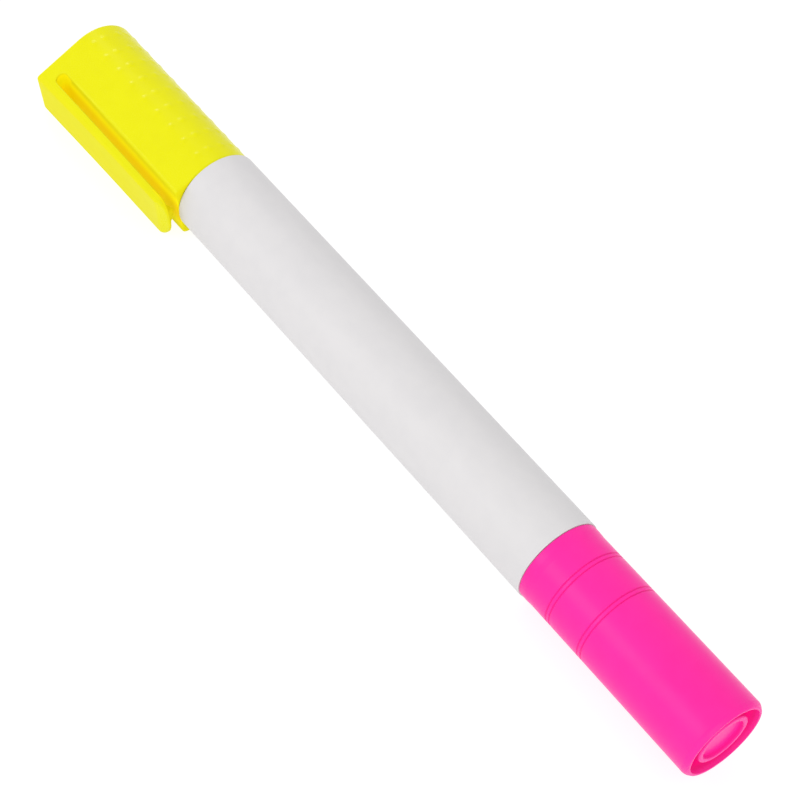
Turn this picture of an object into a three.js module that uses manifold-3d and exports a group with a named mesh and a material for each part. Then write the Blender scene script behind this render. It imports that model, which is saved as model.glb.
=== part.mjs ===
// Dual tip highlighter: a white barrel with two ink reservoirs, and a chisel tip under a push-on cap at each end.
// Millimetres, +Z up. The pen lies along X on its barrel and on the lower corner of the clip.
// The pink end points to +X, and the yellow end, whose cap carries the clip, points to -X.
// Each end is drawn in a frame of its own: x = 0 is the end face of the barrel and +x points out of it.

import * as THREE from 'three';
import { mergeVertices } from 'three/addons/utils/BufferGeometryUtils.js';
import Module from 'manifold-3d';

const wasm = await Module();
wasm.setup();

// Barrel
const barrelLength = 76.2;
const barrelRadius = 6.55;
const barrelWall = 1.0;
const barrelEdgeRadius = 0.4;

// Clearances
const seatGap = 0.3; // between pieces that are pressed or pushed together
const capSeam = 0.1; // between the barrel's end face and the mouth of a cap

// Divider between the two reservoirs
const dividerWeb = 1.4;
const dividerRim = 1.3;
const dividerRimWall = 0.8;

// Ink reservoirs: a fibre rod in a film sleeve
const coreRadius = 4.4;
const filmWall = 0.3;

// Front section, which closes the barrel and holds the tip
const plugDepth = 9.5;
const plugWall = 1.0;
const plugWebThickness = 2.2;
const plugBarbHeight = 0.15;
const plugBarbPitch = 2.2;
const collarDepth = 1.2;
const collarLip = 0.35; // how far the collar stands out past the plug
const seatLength = 10.6;
const seatShoulder = 0.8;
const beadHeight = 0.15;
const beadPosition = 6.5;
const beadHalfWidth = 0.55;
const snoutLength = 9.0;
const snoutWall = 0.65;
const snoutEdgeRadius = 0.3;
const ventWidth = 0.9;
const ventLength = 5.0;

// Chisel tip
const tipRadius = 2.4;
const tipReach = 26.0; // from the barrel's end face to the point
const tipTail = 15.5; // from the barrel's end face back into the reservoir
const chiselLength = 5.0;
const chiselEdge = 1.3; // width of the blade at its end
const chiselSlant = 38; // degrees between the blade's end and a square cut

// Caps
const capWall = 1.05;
const capFlareDepth = 2.2;
const capFlare = 0.3;
const capLipRadius = 0.32;
const grooveWidth = 0.8; // catches the bead of the front section
const ledgePosition = 24.4;
const ledgeThickness = 1.0;
const ledgeHeight = 0.65;

// Pink cap, plain and slightly wider at its far end
const pinkCapLength = 32.2;
const pinkMouthRadius = 6.33;
const pinkEndRadius = 6.41;
const pinkMouthBand = 1.1;
const pinkMouthStep = 0.03;
const pinkRingPositions = [5.2, 11.4];
const pinkRingSpacing = 0.64;
const pinkRingWidth = 0.3;
const pinkRingDepth = 0.1;

// Yellow cap with its clip
const yellowCapLength = 31.4;
const yellowCapRadius = 6.35;
const yellowEndEdge = 0.25;
const clipReach = 9.6; // from the pen's axis to the clip's outer face, at the closed end
const clipTipReach = 9.2; // the same at the free end
const clipHalfWidth = 3.6; // of the outer face
const clipEdgeRadius = 0.5;
const blockEdgeRadius = 0.4; // along the slot's floor
const slotFloor = 6.4; // from the pen's axis to the flat that faces the clip
const slotRoot = 2.5; // from the cap's closed end to the end of the slot
const slotRootReach = 8.15;
const slotTipReach = 7.9;
const clipOverhang = 0.3; // how far the clip's tip passes the mouth
const clipTipHalfWidth = 3.8;
const clipTipCorner = 0.8;
const clipTipBow = 0.8; // how far the corners lie back from the middle of the tip
const clipTipBevel = 0.85; // from the clip's outer face to its free end
const clipTipEdge = 0.6;
const barbLength = 2.9;
const barbHeight = 1.2;
const barbWidth = 2.6;
const barbCrest = 1.2; // its width at its lowest edge
const barbInset = 0.5;
const barbRoot = 0.2; // how far it reaches into the clip

// Grip bumps on the yellow cap, in rows along it
const bumpStations = 9;
const bumpPitch = 3.3;
const bumpFirst = 2.3; // from the closed end to the first bump of a row
const bumpRows = 11;
const bumpRowAngle = 19.5; // degrees between rows
const bumpRadius = 0.62;
const bumpHeight = 0.05;

// Inner seal: a cup that closes over the snout, with a round button for its end
const sealWall = 0.7;
const sealClearance = 0.4; // between the snout and the cup's bore
const sealSetback = 0.3; // from the cap's end plane back to the button's rim
const buttonRadius = 3.9;
const buttonRimWidth = 0.6;
const buttonRimSlope = 0.25;
const buttonRecess = 0.55;
const buttonFloor = 1.0;
const buttonDepth = 6.0;
const sealRibs = 6;
const sealRibLength = 4.0;
const sealRibWidth = 0.9;

// Facets
const outerFacets = 44;
const innerFacets = 24;
const bumpFacets = 6;
const roundSteps = 3;

// Sizes that follow from the ones above
const boreRadius = barrelRadius - barrelWall;
const plugRadius = boreRadius - seatGap;
const counterboreRadius = plugRadius + collarLip + seatGap;
const capBore = yellowCapRadius - capWall;
const seatRadius = capBore - seatGap;
const filmInner = coreRadius + seatGap;
const filmOuter = filmInner + filmWall;
const tipBore = tipRadius + seatGap;
const snoutRadius = tipBore + snoutWall;
const snoutEnd = seatLength + snoutLength;
const sealBore = snoutRadius + sealClearance;
const sealOuter = sealBore + sealWall;
const sealMouth = seatLength + seatGap - capSeam;
const barrelHalf = barrelLength / 2;
const reservoirFront = -(plugDepth + seatGap);
const reservoirBack = -(barrelHalf - dividerWeb / 2 - dividerRim - seatGap);
const sealRibPosition = ledgePosition - seatGap - sealRibLength;

const degrees = Math.PI / 180;

// Points of an arc about (cx, cr), from one angle to another in degrees.
function arc(cx, cr, radius, from, to, steps = roundSteps) {
  const points = [];
  for (let i = 0; i <= steps; i++) {
    const angle = (from + ((to - from) * i) / steps) * degrees;
    points.push([cx + radius * Math.cos(angle), cr + radius * Math.sin(angle)]);
  }
  return points;
}

// Solid of a closed triangle mesh whose vertices are shared.
function solidOf(geometry) {
  const bare = geometry.index ? geometry.toNonIndexed() : geometry.clone();
  bare.deleteAttribute('normal');
  bare.deleteAttribute('uv');
  const merged = mergeVertices(bare, 1e-5);
  return new wasm.Manifold(
    new wasm.Mesh({
      numProp: 3,
      vertProperties: new Float32Array(merged.attributes.position.array),
      triVerts: new Uint32Array(merged.index.array),
    }),
  );
}

// Geometry of a solid, for a mesh.
function geometryOf(solid) {
  const data = solid.getMesh();
  const geometry = new THREE.BufferGeometry();
  geometry.setAttribute('position', new THREE.BufferAttribute(new Float32Array(data.vertProperties), 3));
  geometry.setIndex(new THREE.BufferAttribute(new Uint32Array(data.triVerts), 1));
  geometry.computeVertexNormals();
  return geometry;
}

// Solid of revolution about the x axis. The outline is a loop of [x, radius] points, run so that
// the material lies on its left. It closes on itself, or starts and ends on the axis.
function turned(outline, facets) {
  const points = outline.map(([x, radius]) => new THREE.Vector2(radius, x)).reverse();
  const onAxis = points[0].x === 0 && points[points.length - 1].x === 0;
  if (!onAxis) points.push(points[0].clone());
  const geometry = new THREE.LatheGeometry(points, facets);
  geometry.rotateZ(-Math.PI / 2);
  return solidOf(geometry);
}

// Prism of an outline, with the plane of the outline and the way it is drawn out as unit vectors.
function prism(outline, depth, across, up, along) {
  const shape = new THREE.Shape(outline.map(([a, b]) => new THREE.Vector2(a, b)));
  const geometry = new THREE.ExtrudeGeometry(shape, { depth, bevelEnabled: false });
  geometry.applyMatrix4(new THREE.Matrix4().makeBasis(across, up, along));
  return geometry;
}

const X = new THREE.Vector3(1, 0, 0);
const Y = new THREE.Vector3(0, 1, 0);
const Z = new THREE.Vector3(0, 0, 1);

// Outline of a cross-section in (y, z), drawn out along x from one place to another.
function alongPen(outline, from, to) {
  return solidOf(prism(outline, to - from, Y, Z, X).translate(from, 0, 0));
}

// Outline of a side view in (x, y), drawn out to both sides of the pen's middle plane.
function acrossPen(outline, width) {
  return solidOf(prism(outline, width, X, Y, Z).translate(0, 0, -width / 2));
}

// Outline of a plan view in (x, z), drawn out along y between two heights.
function downOnPen(outline, bottom, top) {
  return solidOf(prism(outline, top - bottom, X, Z, Y.clone().negate()).translate(0, top, 0));
}

function material(color, roughness) {
  return new THREE.MeshStandardMaterial({ color, roughness, metalness: 0 });
}

const white = material(0xe6e5e5, 0.42);
const yellow = material(0xeef01e, 0.38);
const pink = material(0xfd32a5, 0.36);
const yellowInk = material(0xf4f35a, 0.95);
const pinkInk = material(0xff5fb4, 0.95);
const film = material(0xd9dcdf, 0.3);
const yellowFelt = material(0xf0ee3c, 0.85);
const pinkFelt = material(0xff49ad, 0.85);
const dividerPlastic = material(0xf2f2f0, 0.5);

function piece(name, solid, finish) {
  const mesh = new THREE.Mesh(geometryOf(solid), finish);
  mesh.name = name;
  return mesh;
}

// Barrel: a plain tube with rounded ends, counterbored for the two collars.
function barrel() {
  const edge = barrelEdgeRadius;
  const half = barrelHalf;
  const outline = [
    ...arc(half - edge, barrelRadius - edge, edge, 0, 90),
    ...arc(edge - half, barrelRadius - edge, edge, 90, 180),
    [-half, counterboreRadius],
    [collarDepth - half, counterboreRadius],
    [collarDepth - half, boreRadius],
    [half - collarDepth, boreRadius],
    [half - collarDepth, counterboreRadius],
    [half, counterboreRadius],
  ];
  return turned(outline, outerFacets);
}

// Divider: a web with a rim on both faces, so that each reservoir stands off the web.
function divider() {
  const web = dividerWeb / 2;
  const reach = web + dividerRim;
  const rimBore = plugRadius - dividerRimWall;
  return turned(
    [
      [web, 0],
      [web, rimBore],
      [reach, rimBore],
      [reach, plugRadius],
      [-reach, plugRadius],
      [-reach, rimBore],
      [-web, rimBore],
      [-web, 0],
    ],
    innerFacets,
  );
}

// Fibre rod of a reservoir, bored for the tail of the tip.
function reservoirCore() {
  const boreEnd = -(tipTail + seatGap);
  return turned(
    [
      [boreEnd, 0],
      [boreEnd, tipBore],
      [reservoirFront, tipBore],
      [reservoirFront, coreRadius],
      [reservoirBack, coreRadius],
      [reservoirBack, 0],
    ],
    innerFacets,
  );
}

// Film sleeve round the fibre rod, open at both ends.
function reservoirFilm() {
  return turned(
    [
      [reservoirFront, filmInner],
      [reservoirFront, filmOuter],
      [reservoirBack, filmOuter],
      [reservoirBack, filmInner],
    ],
    innerFacets,
  );
}

// Front section: a barbed plug, a collar flush with the barrel, the seat for the cap with its
// snap bead, and a snout with vents that grips the tip.
function frontSection() {
  const plugBody = plugRadius - plugBarbHeight;
  const barbs = [];
  for (let x = -1.5 * plugBarbPitch; x > plugBarbPitch - plugDepth; x -= plugBarbPitch) {
    barbs.push([x, plugBody], [x, plugRadius], [x - plugBarbPitch / 2, plugBody]);
  }
  const collar = counterboreRadius - seatGap;
  const outline = [
    [-plugWebThickness, tipBore],
    [snoutEnd, tipBore],
    [snoutEnd, snoutRadius - snoutEdgeRadius],
    ...arc(snoutEnd - snoutEdgeRadius, snoutRadius - snoutEdgeRadius, snoutEdgeRadius, 30, 90, 2),
    [seatLength, snoutRadius],
    [seatLength, seatRadius - seatShoulder],
    [seatLength - seatShoulder, seatRadius],
    [beadPosition + beadHalfWidth, seatRadius],
    [beadPosition, seatRadius + beadHeight],
    [beadPosition - beadHalfWidth, seatRadius],
    [0, seatRadius],
    [0, collar],
    [seatGap - collarDepth, collar],
    [seatGap - collarDepth, plugRadius],
    [-plugBarbPitch, plugRadius],
    [-plugBarbPitch, plugBody],
    ...barbs,
    [-plugDepth, plugBody],
    [-plugDepth, plugBody - plugWall],
    [-plugWebThickness, plugBody - plugWall],
  ];
  const body = turned(outline, innerFacets);
  const reach = snoutRadius * 2;
  const ventCut = new THREE.BoxGeometry(ventLength, ventWidth, reach * 2);
  ventCut.translate(snoutEnd + seatGap - ventLength / 2, 0, 0);
  return body.subtract(solidOf(ventCut));
}

// Chisel tip: a felt rod whose end is cut to a wedge and then slanted.
function chiselTip() {
  const rod = turned(
    [
      [tipReach, 0],
      [tipReach, tipRadius],
      [-tipTail + tipRadius / 4, tipRadius],
      [-tipTail, tipRadius * 0.75],
      [-tipTail, 0],
    ],
    innerFacets,
  );
  const slantRun = 2 * tipRadius * Math.tan(chiselSlant * degrees);
  const wedge = acrossPen(
    [
      [-tipTail - 1, -tipRadius - 1],
      [tipReach - chiselLength, -tipRadius - 1],
      [tipReach - chiselLength, -tipRadius],
      [tipReach + 1, -chiselEdge / 2],
      [tipReach + 1, chiselEdge / 2],
      [tipReach - chiselLength, tipRadius],
      [tipReach - chiselLength, tipRadius + 1],
      [-tipTail - 1, tipRadius + 1],
    ],
    4 * tipRadius,
  );
  const slant = downOnPen(
    [
      [-tipTail - 1, -tipRadius - 1],
      [tipReach - slantRun, -tipRadius - 1],
      [tipReach - slantRun, -tipRadius],
      [tipReach, tipRadius],
      [tipReach, tipRadius + 1],
      [-tipTail - 1, tipRadius + 1],
    ],
    -2 * tipRadius,
    2 * tipRadius,
  );
  return rod.intersect(wedge).intersect(slant);
}

// Inside of a cap, from its mouth to its open far end: a bore with a groove for the snap bead, a
// ledge that carries the inner seal, and a flare at the far end. The space is what is cut away.
function capSpace(length) {
  const bead = beadPosition - capSeam;
  return turned(
    [
      [-1, 0],
      [-1, capBore],
      [bead - grooveWidth, capBore],
      [bead - grooveWidth / 2, capBore + beadHeight],
      [bead + grooveWidth / 2, capBore + beadHeight],
      [bead + grooveWidth, capBore],
      [ledgePosition, capBore],
      [ledgePosition, capBore - ledgeHeight],
      [ledgePosition + ledgeThickness, capBore - ledgeHeight],
      [ledgePosition + ledgeThickness, capBore],
      [length - capFlareDepth, capBore],
      [length - capLipRadius, capBore + capFlare],
      [length, capBore + capFlare + capLipRadius / 2],
      [length + 1, capBore + capFlare + capLipRadius / 2],
      [length + 1, 0],
    ].reverse(),
    outerFacets,
  );
}

// Pink cap: a plain tube with a band at its mouth, two pairs of fine rings and a rounded lip.
function pinkCapShell() {
  const radiusAt = (x) => pinkMouthRadius + ((pinkEndRadius - pinkMouthRadius) * x) / pinkCapLength;
  const lip = capLipRadius;
  const outline = [
    [0, 0],
    [0, pinkMouthRadius + pinkMouthStep - lip / 2],
    [lip / 2, pinkMouthRadius + pinkMouthStep],
    [pinkMouthBand, pinkMouthRadius + pinkMouthStep],
    [pinkMouthBand + pinkMouthStep, radiusAt(pinkMouthBand)],
  ];
  for (const position of pinkRingPositions) {
    for (const side of [-0.5, 0.5]) {
      const middle = position + pinkRingSpacing * (side + 0.5);
      outline.push(
        [middle - pinkRingWidth / 2, radiusAt(middle)],
        [middle, radiusAt(middle) - pinkRingDepth],
        [middle + pinkRingWidth / 2, radiusAt(middle)],
      );
    }
  }
  outline.push(
    ...arc(pinkCapLength - lip, pinkEndRadius - lip, lip, 90, 0),
    [pinkCapLength, 0],
  );
  return turned(outline.reverse(), outerFacets).subtract(capSpace(pinkCapLength));
}

// Corner of a shape where two straight sides meet, rounded to a radius.
function roundedCorner(before, corner, after, radius) {
  const [a, b, c] = [before, corner, after].map(([x, y]) => new THREE.Vector2(x, y));
  const toA = a.clone().sub(b).normalize();
  const toC = c.clone().sub(b).normalize();
  const half = Math.acos(toA.dot(toC)) / 2;
  const centre = b.clone().addScaledVector(toA.clone().add(toC).normalize(), radius / Math.sin(half));
  const start = b.clone().addScaledVector(toA, radius / Math.tan(half)).sub(centre);
  const turn = Math.sign(start.cross(b.clone().sub(centre))) * (Math.PI - 2 * half);
  const points = [];
  for (let i = 0; i <= roundSteps; i++) {
    const p = start.clone().rotateAround(new THREE.Vector2(), (turn * i) / roundSteps).add(centre);
    points.push([p.x, p.y]);
  }
  return points;
}

// Flank of the yellow cap: the flat that leaves the round body on a tangent and meets the clip's
// outer face. It is given by the point where it touches the round body.
const flankAngle =
  Math.atan2(clipHalfWidth, clipReach) + Math.acos(yellowCapRadius / Math.hypot(clipReach, clipHalfWidth));
const flankTouch = [yellowCapRadius * Math.cos(flankAngle), yellowCapRadius * Math.sin(flankAngle)];

function flankWidthAt(reach) {
  const share = (reach - flankTouch[0]) / (clipReach - flankTouch[0]);
  return flankTouch[1] + (clipHalfWidth - flankTouch[1]) * share;
}

// Cross-section of the block between the round body and a given reach, as (y, z) points.
function blockSection(reach, cornerRadius) {
  const width = flankWidthAt(reach);
  const low = [flankTouch[0], -flankTouch[1]];
  const corners = [
    [reach, -width],
    [reach, width],
  ];
  return [
    low,
    ...roundedCorner(low, corners[0], corners[1], cornerRadius),
    ...roundedCorner(corners[0], corners[1], flankTouch, cornerRadius),
    flankTouch,
  ];
}

// Clip: the full block, cut to its side view with the slot and to its plan view with round corners.
function clip() {
  const length = yellowCapLength;
  const tip = -clipOverhang;
  const root = length - slotRoot;
  const rootRadius = (slotRootReach - slotFloor) / 2;
  const block = alongPen(blockSection(clipReach, clipEdgeRadius), tip, length);
  const slotMiddle = (slotRootReach + slotFloor) / 2;
  const inside = slotFloor - 1;
  const bevelTop = [tip + clipTipBevel, clipTipReach];
  const bevelEnd = [tip, clipTipReach - clipTipBevel];
  const side = acrossPen(
    [
      [length + 1, inside],
      [length + 1, clipReach],
      [length, clipReach],
      ...roundedCorner([length, clipReach], bevelTop, bevelEnd, clipTipEdge),
      ...roundedCorner(bevelTop, bevelEnd, [tip, slotTipReach], clipTipEdge / 2),
      [tip, slotTipReach],
      ...arc(root - rootRadius, slotMiddle, rootRadius, 90, -90, 2 * roundSteps),
      [root - rootRadius, inside],
    ],
    4 * clipReach,
  );
  const clear = flankWidthAt(slotFloor) + 1;
  const rootWidth = flankWidthAt(slotRootReach) + seatGap;
  const tipEdge = (share) => [tip + clipTipBow * share ** 2, clipTipHalfWidth * share];
  const plan = downOnPen(
    [
      [length + 1, -clear],
      [length + 1, clear],
      [root, clear],
      [root, rootWidth],
      ...roundedCorner([root, rootWidth], tipEdge(1), tipEdge(0.5), clipTipCorner),
      tipEdge(0.5),
      tipEdge(0),
      tipEdge(-0.5),
      ...roundedCorner(tipEdge(-0.5), tipEdge(-1), [root, -rootWidth], clipTipCorner),
      [root, -rootWidth],
      [root, -clear],
    ],
    0,
    2 * clipReach,
  );
  const barbStart = tip + barbInset;
  const crest = slotTipReach - barbHeight;
  const barbSide = acrossPen(
    [
      [barbStart, slotTipReach + barbRoot],
      [barbStart, slotTipReach],
      [barbStart + barbLength / 4, crest],
      [barbStart + barbLength / 3, crest],
      [barbStart + barbLength, slotTipReach],
      [barbStart + barbLength, slotTipReach + barbRoot],
    ],
    barbWidth,
  );
  const barbSection = alongPen(
    [
      [crest, -barbCrest / 2],
      [slotTipReach + barbRoot, -barbWidth / 2],
      [slotTipReach + barbRoot, barbWidth / 2],
      [crest, barbCrest / 2],
    ],
    tip,
    root,
  );
  return block.intersect(side).intersect(plan).add(barbSide.intersect(barbSection));
}

// Grip bumps: low domes on the round side, opposite the clip. Each is the top of a flattened ball.
function gripBumps() {
  const ball = 1.7 * bumpRadius;
  const flatness = bumpHeight / (ball - Math.sqrt(ball ** 2 - bumpRadius ** 2));
  const bumps = [];
  for (let row = 0; row < bumpRows; row++) {
    const angle = (row - (bumpRows - 1) / 2) * bumpRowAngle * degrees;
    for (let station = 0; station < bumpStations; station++) {
      const geometry = new THREE.SphereGeometry(ball, bumpFacets, bumpFacets + 1);
      geometry.rotateZ(Math.PI / 2);
      geometry.scale(1, flatness, 1);
      geometry.translate(0, flatness * ball - yellowCapRadius - bumpHeight, 0);
      geometry.rotateX(angle);
      geometry.translate(yellowCapLength - bumpFirst - station * bumpPitch, 0, 0);
      bumps.push(solidOf(geometry));
    }
  }
  return bumps;
}

// Yellow cap: a round body, the block that carries the slot, the clip and the grip bumps.
function yellowCapShell() {
  const edge = yellowEndEdge;
  const length = yellowCapLength;
  let body = turned(
    [
      [0, 0],
      [0, yellowCapRadius],
      [length - edge, yellowCapRadius],
      [length, yellowCapRadius - edge],
      [length, 0],
    ].reverse(),
    outerFacets,
  );
  for (const bump of gripBumps()) body = body.add(bump);
  body = body.add(alongPen(blockSection(slotFloor, blockEdgeRadius), 0, length)).add(clip());
  return body.subtract(capSpace(length));
}

// Inner seal: its open end closes on the front section's shoulder, round the snout, and its ribs
// stand on the ledge of the cap. Its closed end is the round button seen in the end of the cap.
function innerSeal(length) {
  const rim = length - sealSetback;
  const floor = rim - buttonRecess;
  const buttonStart = rim - buttonDepth;
  const rimInner = buttonRadius - buttonRimWidth;
  const cup = turned(
    [
      [floor, 0],
      [floor, rimInner - buttonRimSlope],
      [rim - buttonRimSlope / 2, rimInner],
      [rim, rimInner + buttonRimSlope / 2],
      [rim, buttonRadius - buttonRimSlope],
      [rim - buttonRimSlope, buttonRadius],
      [buttonStart, buttonRadius],
      [buttonStart - (sealOuter - buttonRadius), sealOuter],
      [sealMouth, sealOuter],
      [sealMouth, sealBore],
      [buttonStart - (sealOuter - buttonRadius), sealBore],
      [buttonStart, buttonRadius - sealWall],
      [floor - buttonFloor, buttonRadius - sealWall],
      [floor - buttonFloor, 0],
    ],
    innerFacets,
  );
  const ribReach = capBore - seatGap;
  let seal = cup;
  for (let i = 0; i < sealRibs; i++) {
    const inner = (sealBore + sealOuter) / 2;
    const rib = new THREE.BoxGeometry(sealRibLength, ribReach - inner, sealRibWidth);
    rib.translate(sealRibPosition + sealRibLength / 2, (ribReach + inner) / 2, 0);
    rib.rotateX((2 * Math.PI * i) / sealRibs);
    seal = seal.add(solidOf(rib));
  }
  return seal;
}

// One end of the pen: reservoir, front section and tip, and the cap with its inner seal.
function penEnd(colour, finishes, capLength, capShell) {
  const end = new THREE.Group();
  end.add(piece(`${colour}_reservoir_core`, reservoirCore(), finishes.ink));
  end.add(piece(`${colour}_reservoir_film`, reservoirFilm(), film));
  end.add(piece(`${colour}_front_section`, frontSection(), white));
  end.add(piece(`${colour}_chisel_tip`, chiselTip(), finishes.felt));
  const cap = new THREE.Group();
  cap.position.x = capSeam;
  cap.add(piece(`${colour}_cap_shell`, capShell(), finishes.shell));
  cap.add(piece(`${colour}_cap_inner_seal`, innerSeal(capLength), finishes.shell));
  end.add(cap);
  return end;
}

// Angle about the pen's axis at which it lies on its barrel and on the clip's lower corner.
function restingRoll() {
  const low = [flankTouch[0], -flankTouch[1]];
  const corner = [clipReach, -clipHalfWidth];
  const arcPoints = roundedCorner(low, corner, [clipReach, clipHalfWidth], clipEdgeRadius);
  const reach = arcPoints.map(([y, z]) => Math.hypot(y, z));
  const angles = arcPoints.map(([y, z], i) => Math.asin(barrelRadius / reach[i]) - Math.atan2(-z, y));
  return Math.min(...angles);
}

const pen = new THREE.Group();
pen.add(piece('barrel', barrel(), white));
pen.add(piece('reservoir_divider', divider(), dividerPlastic));

const pinkEnd = penEnd('pink', { ink: pinkInk, felt: pinkFelt, shell: pink }, pinkCapLength, pinkCapShell);
pinkEnd.position.x = barrelHalf;
pen.add(pinkEnd);

// The yellow end is turned round, so its clip, drawn on the +y side, points to -y.
const yellowEnd = penEnd(
  'yellow',
  { ink: yellowInk, felt: yellowFelt, shell: yellow },
  yellowCapLength,
  yellowCapShell,
);
yellowEnd.rotation.z = Math.PI;
yellowEnd.position.x = -barrelHalf;
pen.add(yellowEnd);

pen.rotation.x = restingRoll();

// The origin is under the middle of the pen, on the surface that it lies on.
const highlighter = new THREE.Group();
highlighter.add(pen);
highlighter.updateMatrixWorld(true);
const box = new THREE.Box3().setFromObject(highlighter, true);
const middle = box.getCenter(new THREE.Vector3());
highlighter.position.set(-middle.x, -middle.y, -box.min.z);

export default highlighter;
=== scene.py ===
"""Looks of a dual tip highlighter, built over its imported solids.

A white barrel carries a yellow cap with a pocket clip on one end and a plain pink cap on the other.
Each cap covers a white front section with a chisel tip. The classes hold their sizes in
millimetres, in a frame of each end of the pen: x = 0 is the end face of the barrel, +x points out
of it, and +y points to the clip.
"""

import logging
import math
from abc import ABC, abstractmethod
from collections.abc import Callable, Sequence
from dataclasses import dataclass, field
from enum import Enum

import bpy
import numpy as np
from mathutils import Matrix, Vector


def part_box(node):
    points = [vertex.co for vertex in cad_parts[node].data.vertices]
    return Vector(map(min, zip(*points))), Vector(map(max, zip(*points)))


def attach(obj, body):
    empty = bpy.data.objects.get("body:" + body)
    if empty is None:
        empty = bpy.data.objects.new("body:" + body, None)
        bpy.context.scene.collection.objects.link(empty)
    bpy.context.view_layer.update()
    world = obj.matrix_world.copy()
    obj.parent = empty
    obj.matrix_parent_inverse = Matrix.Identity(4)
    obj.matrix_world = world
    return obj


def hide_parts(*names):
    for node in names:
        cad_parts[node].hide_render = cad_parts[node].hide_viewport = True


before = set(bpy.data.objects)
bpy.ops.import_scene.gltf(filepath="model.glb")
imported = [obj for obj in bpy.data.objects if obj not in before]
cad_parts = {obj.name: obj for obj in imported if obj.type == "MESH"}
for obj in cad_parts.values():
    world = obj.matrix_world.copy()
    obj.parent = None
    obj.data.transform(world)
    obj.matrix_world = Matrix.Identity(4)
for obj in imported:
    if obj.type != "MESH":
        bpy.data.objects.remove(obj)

LOG = logging.getLogger("highlighter")
MM = 0.001
Array = np.ndarray
Colour = tuple[float, float, float]
Tint = Colour | bpy.types.NodeSocket
PAINTED_SHADE_LAYER = "depth"


@dataclass(frozen=True)
class Corner:
    """A corner of an outline, with the radius that rounds it."""

    a: float
    b: float
    rounding: float = 0.05


@dataclass(frozen=True)
class Outline:
    """A closed outline in a plane, run with the material on its left."""

    corners: tuple[Corner, ...]

    @classmethod
    def of(cls, *corners: Sequence[float]) -> "Outline":
        """Makes an outline of (a, b) or (a, b, rounding) corners."""
        return cls(tuple(Corner(*corner) for corner in corners))

    def smooth_loop(self, turn_step: float = 12.0) -> tuple[Array, Array]:
        """Rounds every corner.

        Args:
            turn_step: Largest turn between two points of an arc, in degrees.

        Returns:
            The points of the loop and its outward normals, one row for each point.
        """
        places = np.array([(c.a, c.b) for c in self.corners])
        points: list[Array] = []
        normals: list[Array] = []
        for i, corner in enumerate(self.corners):
            here = places[i]
            back = places[i - 1] - here
            ahead = places[(i + 1) % len(places)] - here
            back_length, ahead_length = np.linalg.norm(back), np.linalg.norm(ahead)
            back, ahead = back / back_length, ahead / ahead_length
            half = math.acos(float(np.clip(back @ ahead, -1, 1))) / 2
            room = 0.49 * min(back_length, ahead_length)
            radius = min(corner.rounding, room * math.tan(half))
            centre = here + (back + ahead) / np.linalg.norm(back + ahead) * radius / math.sin(half)
            turn = math.pi - 2 * half
            left_turn = -back[0] * ahead[1] + back[1] * ahead[0] > 0
            first = here + back / math.tan(half) * radius - centre
            steps = max(2, math.ceil(math.degrees(turn) / turn_step))
            for k in range(steps + 1):
                angle = turn * k / steps * (1 if left_turn else -1)
                cos, sin = math.cos(angle), math.sin(angle)
                arm = np.array([first[0] * cos - first[1] * sin, first[0] * sin + first[1] * cos])
                points.append(centre + arm)
                normals.append(arm / radius * (1 if left_turn else -1))
        return np.array(points), np.array(normals)

    def distance(self, a: Array, b: Array) -> Array:
        """Signed distance of points from the rounded outline.

        Args:
            a: First coordinates of the points.
            b: Second coordinates, of a shape that broadcasts with the first.

        Returns:
            Distances, below zero inside.
        """
        loop = self.smooth_loop(20.0)[0]
        shape = np.broadcast_shapes(np.shape(a), np.shape(b))
        nearest = np.full(shape, 1e9)
        inside = np.zeros(shape, bool)
        for start, end in zip(loop, np.roll(loop, -1, axis=0)):
            edge = end - start
            if edge @ edge < 1e-14:
                continue
            from_a, from_b = a - start[0], b - start[1]
            share = np.clip((from_a * edge[0] + from_b * edge[1]) / (edge @ edge), 0, 1)
            gap = (from_a - share * edge[0]) ** 2 + (from_b - share * edge[1]) ** 2
            nearest = np.minimum(nearest, gap)
            if edge[1] != 0:
                straddles = (b >= start[1]) != (b >= end[1])
                inside ^= straddles & (from_a < from_b * edge[0] / edge[1])
        return np.where(inside, -1, 1) * np.sqrt(nearest)


def rounded_both(one: Array, other: Array, radius: float) -> Array:
    """Distance of what two solids share, with the edge between them rounded to a radius."""
    corner = np.hypot(np.maximum(one + radius, 0), np.maximum(other + radius, 0))
    return np.minimum(np.maximum(one, other), -radius) + corner


def rounded_either(one: Array, other: Array, radius: float) -> Array:
    """Distance of two solids joined, with a fillet of a radius between them."""
    corner = np.hypot(np.maximum(radius - one, 0), np.maximum(radius - other, 0))
    return np.maximum(np.minimum(one, other), radius) - corner


@dataclass
class Form:
    """A mesh in millimetres: points, faces of four points, a normal and a depth at each point.

    The depth runs from 0 in the open to 1 far down in a slot or a trough, and sets how much painted
    shade and painted glow the material lays there.
    """

    points: Array
    faces: Array
    normals: Array
    depth: Array


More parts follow.
